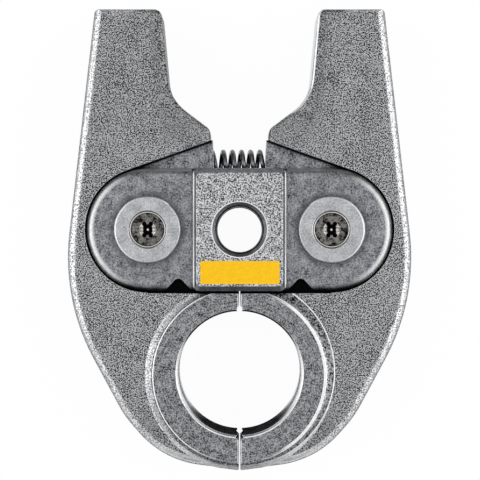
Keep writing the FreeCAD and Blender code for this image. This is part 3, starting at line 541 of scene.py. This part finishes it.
plateSettings = {
    "pivot": 24.5,
    "faceCorner": (10.45, 13.85, 0.0),  # middle of the round corners of the block's flat face
    # edge: rounded edges brightened by wear and painted highlight; corners darkened by painted shade
    "edge": {"round": 0.2, "wearHighlight": 0.75, "colour": "#f4f5f6", "cornerShade": 0.85, "cornerShadeReach": 1.6,
             "cornerShadeColour": "#1a1a1b"},
}
plateFinishes = {
    # punched, tumbled and lightly oiled: cloudy, with faint upright rubbing marks
    "tumbled": {"dark": "#252628", "light": "#a9aaad", "grain": 0.4, "cloud": 2.6, "cloudShare": 0.45,
                "spread": 0.16, "rough": (0.3, 0.44), "bump": 0.012,
                "streaks": {"angle": 90, "size": (2.0, 0.5, 9.0), "share": 0.14, "heightShare": 0.6}},
    # painted shadow round the washers
    "washerShade": {"dark": "#1c1d1e", "light": "#7c7d80", "grain": 0.45, "cloud": 2.6, "cloudShare": 0.5,
                "spread": 0.2, "rough": (0.34, 0.46), "bump": 0.008},
    # soft ends of the lobes and bright edge lines, painted highlight
    "plateHighlight": {"dark": "#c4c5c6", "light": "#ffffff", "grain": 0.5, "cloud": 3.0, "cloudShare": 0.5,
                 "spread": 0.25, "rough": (0.48, 0.58), "bump": 0.006},
    # face of the block, blasted finer than the levers and left bright
    "fineBlasted": {"dark": "#1d1e1f", "light": "#dadbdc", "grain": 0.38, "cloud": 2.0, "cloudShare": 0.25,
                    "spread": 0.11, "rough": (0.3, 0.46), "bump": 0.03},
    # painted shade in the bolt bore
    "boreShade": {"dark": "#0a0a0b", "light": "#3a3b3c", "grain": 0.5, "cloud": 2.0, "cloudShare": 0.5,
              "spread": 0.2, "rough": (0.3, 0.42), "bump": 0.006},
    # milled slopes at the block's ends and in the mouth of the bore, darker as painted shade where they face
    # the dark ends of the room
    "sloped": {"dark": "#58595c", "light": "#9c9da0", "grain": 0.45, "cloud": 2.0, "cloudShare": 0.4,
               "spread": 0.22, "rough": (0.3, 0.42), "bump": 0.01},
}
plateZones = {
    "block": {"across": (-5, 11.65, 0.02), "depth": (10.7, 30, 0.02)},
    # outer ends and steep lower edges of the lobes: painted highlight
    "ends": {"fromPivot": (14.05, 15.45), "across": (27, 36)},
    "steep": {"level": (0.9, 0.6), "depth": (6.8, 10.6, 0.05), "y": (-14, -8), "across": (12.5, 13)},
    # painted shadow round the washers
    "roundWasher": {"fromPivot": (11.1, 8.9), "depth": (10.45, 20, 0.02)},
    "beyondFace": {"fromCorner": (1.2, 30, 0.06)},
    "boreMouth": {"fromBolt": (-5, 7.3, 0.03)},
    "bore": {"fromBolt": (-5, 6.45, 0.04)},
    # painted highlight lines round the mouth and along the block's foot
    "lip": {"fromBolt": (7.32, 7.54, 0.03)},
    "foot": {"across": (12.06, 12.42, 0.03), "depth": (10.45, 13.0, 0.02)},
}


def makePlateSteel(settings, finishes, zones):
    material, tree, spots = startMaterial("tumbled plate steel")
    spots["fromBolt"] = addRadius(tree, spots["place"], 0, 0)
    spots["fromPivot"] = addRadius(tree, spots["folded"], settings["pivot"], 0)
    # the flat face has rounded corners; beyond it the block slopes
    past = addNode(tree, "ShaderNodeVectorMath", {0: spots["folded"], 1: settings["faceCorner"]},
                   operation="SUBTRACT")
    past = addNode(tree, "ShaderNodeVectorMath", {0: past.outputs[0], 1: (0, 0, 0)}, operation="MAXIMUM")
    spots["fromCorner"] = addRadius(tree, past.outputs[0], 0, 0)
    made = {name: addFinish(tree, spots["place"], finish) for name, finish in finishes.items()}
    at = addZones(tree, spots, zones)
    finish = addLayers(tree, made, "tumbled", (
        ("washerShade", at["roundWasher"]),
        ("plateHighlight", anyOf(tree, at["ends"], at["steep"])),
        ("fineBlasted", at["block"]),
        ("sloped", allOf(tree, at["block"], anyOf(tree, at["beyondFace"], at["boreMouth"]))),
        ("boreShade", at["bore"]),
        ("plateHighlight", anyOf(tree, at["foot"], allOf(tree, at["block"], at["lip"]))),
    ))
    endMaterial(tree, finish, settings["edge"], at["foot"], ownShapeOnly=True)
    return material


plateSteel = makePlateSteel(plateSettings, plateFinishes, plateZones)
for name in ("front_link_plate", "back_link_plate"):
    coverNode(name, plateSteel)
print("link plates finished")

# Washers and screws over the pivots

washerSettings = {
    "pivot": 24.5,
    # edge: rounded edges brightened by wear and painted highlight; corners darkened by painted shade
    "edge": {"round": 0.15, "wearHighlight": 0.9, "colour": "#ffffff", "cornerShade": 0.7, "cornerShadeReach": 0.6,
             "cornerShadeColour": "#3a3a3b"},
}
washerFinishes = {
    # zinc plated, nearly even
    "plated": {"dark": "#939496", "light": "#cccdce", "grain": 0.45, "cloud": 4.0, "cloudShare": 0.45,
               "spread": 0.16, "rough": (0.26, 0.32), "bump": 0.002},
    # chamfered rim, painted highlight
    "rim": {"dark": "#e0e1e3", "light": "#ffffff", "grain": 0.5, "cloud": 3.0, "cloudShare": 0.5,
            "spread": 0.3, "rough": (0.2, 0.26), "bump": 0.002},
}
washerZones = {
    "rim": {"fromPivot": (8.5, 30, 0.03)},
}


def makeWasherSteel(settings, finishes, zones):
    material, tree, spots = startMaterial("zinc plated steel")
    spots["fromPivot"] = addRadius(tree, spots["folded"], settings["pivot"], 0)
    made = {name: addFinish(tree, spots["place"], finish) for name, finish in finishes.items()}
    at = addZones(tree, spots, zones)
    endMaterial(tree, coverFinish(tree, made["plated"], made["rim"], at["rim"]), settings["edge"])
    return material


screwSettings = {
    "pivot": 24.5,
    # edge: rounded edges brightened by wear and painted highlight; corners darkened by painted shade
    "edge": {"round": 0.08, "wearHighlight": 0.3, "colour": "#c9c9c7", "cornerShade": 0.5, "cornerShadeReach": 0.6,
             "cornerShadeColour": "#050505"},
}
screwFinishes = {
    # blackened, with paler and browner patches where the oil dried
    "blackened": {"dark": "#050504", "light": "#7c7975", "grain": 0.5, "cloud": 1.6, "cloudShare": 0.68,
                  "spread": 0.085, "rough": (0.26, 0.42), "bump": 0.01},
    # slopes of the socket's mouth, rubbed bare by the driver and painted bright as a highlight
    "bareHighlit": {"dark": "#8f8d88", "light": "#f6f5f2", "grain": 0.5, "cloud": 1.6, "cloudShare": 0.5,
              "spread": 0.2, "rough": (0.22, 0.32), "bump": 0.004},
    # bevel round the head, and the dot at the socket's centre: painted highlight
    "ring": {"dark": "#b2b1ae", "light": "#e2e1de", "grain": 0.5, "cloud": 2.0, "cloudShare": 0.5,
             "spread": 0.3, "rough": (0.24, 0.3), "bump": 0.002},
    # inside of the socket, and lines round the head: painted black as shade
    "deep": {"dark": "#030303", "light": "#0e0e0e", "grain": 0.5, "cloud": 2.0, "cloudShare": 0.5,
             "spread": 0.3, "rough": (0.4, 0.5), "bump": 0.002},
}
screwZones = {
    "inSocket": {"fromPivot": (-5, 2.6, 0.03)},
    "belowMouth": {"depth": (-5, 10.93, 0.03)},
    "mouth": {"level": (0.985, 0.95), "depth": (10.93, 20, 0.03)},
    "dimple": {"fromPivot": (-5, 0.28, 0.08)},
    # the two lobes that lie level, facing the side lamps, are painted bright as a highlight
    "levelLobes": {"besidePivot": (1.15, 1.4), "y": (-0.8, 0.8, 0.05)},
    # painted highlight line round the head, between two painted shade lines
    "onHead": {"depth": (11.15, 20, 0.02)},
    "dark": {"fromPivot": (4.3, 20, 0.04)},
    "ring": {"fromPivot": (4.5, 4.78, 0.04)},
}


def makeScrewSteel(settings, finishes, zones):
    material, tree, spots = startMaterial("blackened steel")
    spots["fromPivot"] = addRadius(tree, spots["folded"], settings["pivot"], 0)
    offset = addNode(tree, "ShaderNodeMath", {0: spots["across"], 1: settings["pivot"]}, operation="SUBTRACT")
    spots["besidePivot"] = sizeOf(tree, offset.outputs[0])
    made = {name: addFinish(tree, spots["place"], finish) for name, finish in finishes.items()}
    at = addZones(tree, spots, zones)
    deep = allOf(tree, at["inSocket"], at["belowMouth"])
    dark = allOf(tree, at["dark"], at["onHead"])
    ring = allOf(tree, at["ring"], at["onHead"])
    finish = addLayers(tree, made, "blackened", (
        ("bareHighlit", allOf(tree, at["inSocket"], at["mouth"])),
        ("deep", deep),
        ("ring", allOf(tree, at["dimple"], at["belowMouth"])),
        ("bareHighlit", allOf(tree, deep, at["levelLobes"])),
        ("deep", dark),
        ("ring", ring),
    ))
    endMaterial(tree, finish, settings["edge"], ring, dark)
    return material


washerSteel = makeWasherSteel(washerSettings, washerFinishes, washerZones)
screwSteel = makeScrewSteel(screwSettings, screwFinishes, screwZones)
for name in nodes:
    if name.endswith("_washer"):
        coverNode(name, washerSteel)
    if name.endswith("_screw"):
        coverNode(name, screwSteel)
print("washers and screws finished")

# Pivot pins, and the wire of the return spring

pinFinish = {
    # hardened and ground
    "ground": {"dark": "#8a8b8e", "light": "#b9babd", "grain": 0.4, "cloud": 3.0, "cloudShare": 0.5,
               "spread": 0.3, "rough": (0.18, 0.26), "bump": 0.002},
    # edge: rounded edges brightened by wear and painted highlight; corners darkened by painted shade
    "edge": {"round": 0.2, "wearHighlight": 0.6, "colour": "#e6e7e9", "cornerShade": 0.6, "cornerShadeReach": 1.0,
             "cornerShadeColour": "#1a1a1b"},
}
wireFinish = {
    # drawn and blued: dark, with a long bright gleam
    "drawn": {"dark": "#2b2c2e", "light": "#8c8d90", "grain": 0.4, "cloud": 2.0, "cloudShare": 0.5,
              "spread": 0.22, "rough": (0.16, 0.24), "bump": 0.003},
    # edge: corners darkened by painted shade; no edge brightening
    "edge": {"round": 0.05, "wearHighlight": 0.0, "colour": "#c8c9cb", "cornerShade": 0.9, "cornerShadeReach": 1.6,
             "cornerShadeColour": "#060606"},
}


def makePlainSteel(name, finish, edge):
    material, tree, spots = startMaterial(name)
    endMaterial(tree, addFinish(tree, spots["place"], finish), edge)
    return material


pinSteel = makePlainSteel("ground pin steel", pinFinish["ground"], pinFinish["edge"])
wireSteel = makePlainSteel("drawn spring steel", wireFinish["drawn"], wireFinish["edge"])
for name in nodes:
    if name.endswith("_pin"):
        coverNode(name, pinSteel)
coverNode("return_spring", wireSteel)
print("pins and wire finished")

# Return spring: two halves that meet at the centre line

springSettings = {
    "axisHeight": 17.7,
    "coilRadius": 3.48,
    "wireRadius": 0.62,
    "pitch": 2.47,
    "topAt": 0.49,  # a turn stands highest here, right of the centre line
    # length and pitch from the centre line out: open turns, one long turn into the lever, closed end
    "stages": ((5.7, 2.47), (3.7, 3.7), (2.75, 1.4)),
    "reach": 12.15,
    "stepsPerTurn": 28,
    "wireSides": 12,
}


def linkPiece(name, shape, material):
    mesh = bpy.data.meshes.new(name)
    shape.to_mesh(mesh)
    shape.free()
    mesh.materials.append(material)
    piece = bpy.data.objects.new(name, mesh)
    bpy.context.scene.collection.objects.link(piece)
    return piece


def makeSpringHalf(name, settings, hand):
    startAngle = -2 * math.pi * settings["topAt"] / settings["pitch"]  # turn of the coil at the centre line
    shape = bmesh.new()
    ring = bmesh.ops.create_circle(shape, cap_ends=False, segments=settings["wireSides"],
                                   radius=settings["wireRadius"] * mm)["verts"]
    lean = math.atan(settings["pitch"] / (2 * math.pi * settings["coilRadius"]))
    atTop = (Matrix.Translation((0, settings["coilRadius"] * mm, 0)) @ Matrix.Rotation(lean, 4, "Y"))
    bmesh.ops.transform(shape, matrix=Matrix.Rotation(startAngle, 4, "X") @ atTop, verts=ring)
    edges = list(shape.edges)
    wire = ring + edges
    for length, pitch in settings["stages"]:
        turns = length / pitch
        steps = round(turns * settings["stepsPerTurn"])
        wire = bmesh.ops.spin(shape, geom=wire, cent=(0, 0, 0), axis=(1, 0, 0), use_merge=False,
                              dvec=(hand * length * mm / steps, 0, 0),
                              angle=hand * 2 * math.pi * turns, steps=steps)["geom_last"]
    last = [edge for edge in wire if isinstance(edge, bmesh.types.BMEdge)]
    bmesh.ops.contextual_create(shape, geom=last)
    bmesh.ops.contextual_create(shape, geom=edges)
    bmesh.ops.recalc_face_normals(shape, faces=shape.faces)
    bmesh.ops.transform(shape, matrix=Matrix.Translation((0, settings["axisHeight"] * mm, 0)),
                        verts=shape.verts)
    for face in shape.faces:
        face.smooth = len(face.verts) == 4
    half = linkPiece(name, shape, wireSteel)
    return half


for side, hand in (("left", -1), ("right", 1)):
    half = makeSpringHalf(side + "SpringHalf", springSettings, hand)
    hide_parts("return_spring")
    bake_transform(half)
print("spring wound")

# Painted accent on the lower part of the front block face

accentSettings = {
    "middle": (0.1, -11.4),
    "size": (21.0, 6.1),
    "face": 14.0,
    "film": 0.05,
    "corner": 0.5,
    "colour": "#f7c20d",
    "shade": "#d99a06",  # thinner patches, mixed in by a share
    "shadeShare": 0.35,
    "patch": 0.6,
    "bump": 0.01,
}


def makeAccentPaint(settings):
    material, tree, spots = startMaterial("yellow enamel paint")
    patches = addNode(tree, "ShaderNodeTexNoise", {"Vector": spots["place"], "Scale": 1 / settings["patch"],
                                                   "Detail": 3.0})
    share = addNode(tree, "ShaderNodeMapRange", {"Value": patches.outputs[0], "From Min": noiseEnds[0],
                                                 "From Max": noiseEnds[1], "To Max": settings["shadeShare"]})
    colour = addNode(tree, "ShaderNodeMix", {0: share.outputs[0], 6: linearColour(settings["colour"]),
                                             7: linearColour(settings["shade"])}, data_type="RGBA")
    bumped = addNode(tree, "ShaderNodeBump", {"Height": patches.outputs[0], "Strength": 1.0,
                                              "Distance": settings["bump"] * mm})
    # matt paint: little of the white room shows in it
    shader = addNode(tree, "ShaderNodeBsdfPrincipled", {"Base Color": colour.outputs[2], "Roughness": 0.6,
                                                        "Specular IOR Level": 0.2,
                                                        "Normal": bumped.outputs[0]})
    addNode(tree, "ShaderNodeOutputMaterial", {"Surface": shader.outputs[0]})
    return material


def makeAccent(settings):
    shape = bmesh.new()
    width, height = settings["size"]
    film = settings["film"] * mm
    place = Matrix.Translation(Vector((*settings["middle"], settings["face"])) * mm)
    bmesh.ops.create_cube(shape, size=1.0,
                          matrix=place @ Matrix.Diagonal((width * mm, height * mm, 2 * film, 1)))
    upright = [edge for edge in shape.edges if abs(edge.verts[0].co.z - edge.verts[1].co.z) > film]
    bmesh.ops.bevel(shape, geom=upright, offset=settings["corner"] * mm, offset_type="OFFSET", affect="EDGES",
                    segments=6, profile=0.5, material=-1, clamp_overlap=True)
    accent = linkPiece("accentBar", shape, makeAccentPaint(settings))
    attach(accent, "carrier")


makeAccent(accentSettings)
print("accent painted")
